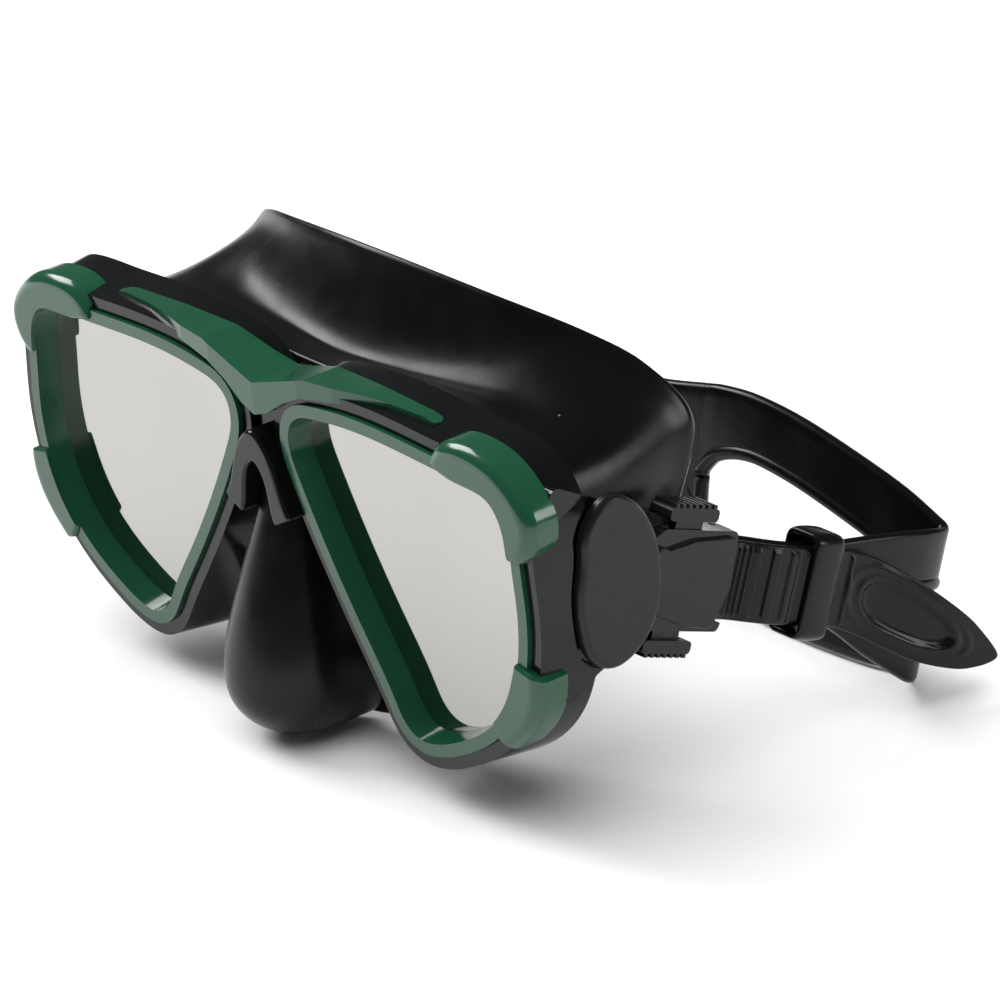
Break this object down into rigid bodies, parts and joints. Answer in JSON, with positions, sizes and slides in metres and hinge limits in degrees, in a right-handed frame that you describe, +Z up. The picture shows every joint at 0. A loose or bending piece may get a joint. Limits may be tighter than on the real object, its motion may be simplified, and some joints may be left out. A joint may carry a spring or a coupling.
{
  "type": "diving mask",
  "caption": "Two-window diving mask with green lens rims, a black frame and skirt with a nose pocket, and a split strap on swivelling side buckles.",
  "frame": {"origin": "on the surface that the mask stands on, under the middle of its box", "axes": "+Z up, -Y the way the lenses look, +X towards the wearer's left"},
  "size_m": [0.184, 0.1193, 0.0893],
  "materials": {
    "black_gloss": "polished moulded plastic",
    "green": "polished moulded plastic",
    "black_silicone": "glossy moulded silicone",
    "black_satin": "fine matte moulded plastic",
    "lens_glass": "tempered glass with a neutral silver mirror coating",
    "steel": "turned stainless steel"
  },
  "bodies": {
    "mask": {"frame": "black_gloss", "bridge_trim": "green", "nose_clip": "black_gloss", "skirt": "black_silicone", "rim_left": "green", "lens_left": "lens_glass", "side_cap_left": "black_satin", "pivot_pin_left": "steel", "rim_right": "green", "lens_right": "lens_glass", "side_cap_right": "black_satin", "pivot_pin_right": "steel"},
    "left_buckle": {"buckle_body_left": "black_gloss", "buckle_cover_left": "black_satin", "roller_pin_left": "steel", "strap": "black_silicone", "upper_spring_left": "steel", "lower_spring_left": "steel"},
    "right_buckle": {"buckle_body_right": "black_gloss", "buckle_cover_right": "black_satin", "roller_pin_right": "steel", "upper_spring_right": "steel", "lower_spring_right": "steel"},
    "left_roller": {"roller_left": "black_satin"},
    "left_keeper": {"keeper_left": "black_silicone"},
    "left_upper_button": {"upper_button_left": "black_satin"},
    "left_lower_button": {"lower_button_left": "black_satin"},
    "right_roller": {"roller_right": "black_satin"},
    "right_keeper": {"keeper_right": "black_silicone"},
    "right_upper_button": {"upper_button_right": "black_satin"},
    "right_lower_button": {"lower_button_right": "black_satin"}
  },
  "joints": [
    {"name": "left_swivel", "type": "hinge", "parent": "mask", "child": "left_buckle", "pos_m": [0.0792, -0.03185, 0.053], "axis": [1, 0, 0], "range_deg": [-8, 40]},
    {"name": "right_swivel", "type": "hinge", "parent": "mask", "child": "right_buckle", "pos_m": [-0.0792, -0.03185, 0.053], "axis": [1, 0, 0], "range_deg": [-8, 40]},
    {"name": "left_roller_spin", "type": "hinge", "parent": "left_buckle", "child": "left_roller", "pos_m": [0.0758, -0.00422, 0.04239], "axis": [0, 0.3584, 0.9336], "continuous": true},
    {"name": "left_keeper_slide", "type": "slide", "parent": "left_buckle", "child": "left_keeper", "axis": [0, 0.9336, -0.3584], "range_m": [-0.003, 0.001]},
    {"name": "left_upper_press", "type": "slide", "parent": "left_buckle", "child": "left_upper_button", "axis": [0, -0.3584, -0.9336], "range_m": [0, 0.0015], "stiffness_N_per_m": 600, "springref_m": -0.0006, "deforming": ["upper_spring_left"]},
    {"name": "left_lower_press", "type": "slide", "parent": "left_buckle", "child": "left_lower_button", "axis": [0, 0.3584, 0.9336], "range_m": [0, 0.0015], "stiffness_N_per_m": 600, "springref_m": -0.0006, "deforming": ["lower_spring_left"]},
    {"name": "right_roller_spin", "type": "hinge", "parent": "right_buckle", "child": "right_roller", "pos_m": [-0.0758, -0.00422, 0.04239], "axis": [0, 0.3584, 0.9336], "continuous": true},
    {"name": "right_keeper_slide", "type": "slide", "parent": "left_buckle", "child": "right_keeper", "axis": [0, 0.9336, -0.3584], "range_m": [-0.003, 0.001]},
    {"name": "right_upper_press", "type": "slide", "parent": "right_buckle", "child": "right_upper_button", "axis": [0, -0.3584, -0.9336], "range_m": [0, 0.0015], "stiffness_N_per_m": 600, "springref_m": -0.0006, "deforming": ["upper_spring_right"]},
    {"name": "right_lower_press", "type": "slide", "parent": "right_buckle", "child": "right_lower_button", "axis": [0, 0.3584, 0.9336], "range_m": [0, 0.0015], "stiffness_N_per_m": 600, "springref_m": -0.0006, "deforming": ["lower_spring_right"]}
  ],
  "couplings": [
    {"joint": "right_swivel", "follows": "left_swivel", "ratio": 1}
  ]
}
